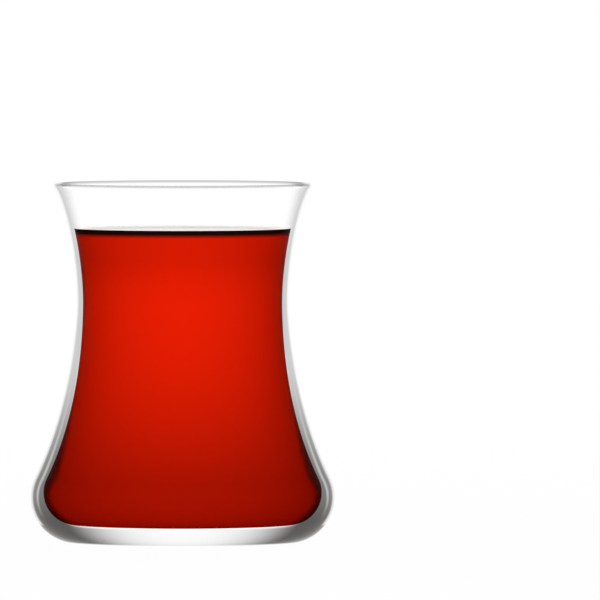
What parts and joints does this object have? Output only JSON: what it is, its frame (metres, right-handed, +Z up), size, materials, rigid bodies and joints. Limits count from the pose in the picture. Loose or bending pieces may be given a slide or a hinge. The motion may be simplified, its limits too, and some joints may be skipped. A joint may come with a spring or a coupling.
{
  "type": "turkish tea glass",
  "caption": "Waisted clear tea glass with a flared rounded lip, a round belly and a thick flat base, filled with red-brown tea to a little below the lip.",
  "frame": {"origin": "centre of the foot, on the surface the glass stands on", "axes": "+Z up along the axis of the glass; X and Y are alike because the glass is round"},
  "size_m": [0.0676, 0.0676, 0.08],
  "materials": {
    "clear_glass": "polished",
    "black_tea": "gloss"
  },
  "bodies": {
    "root": {"tea_glass": "clear_glass", "tea": "black_tea"}
  },
  "joints": []
}
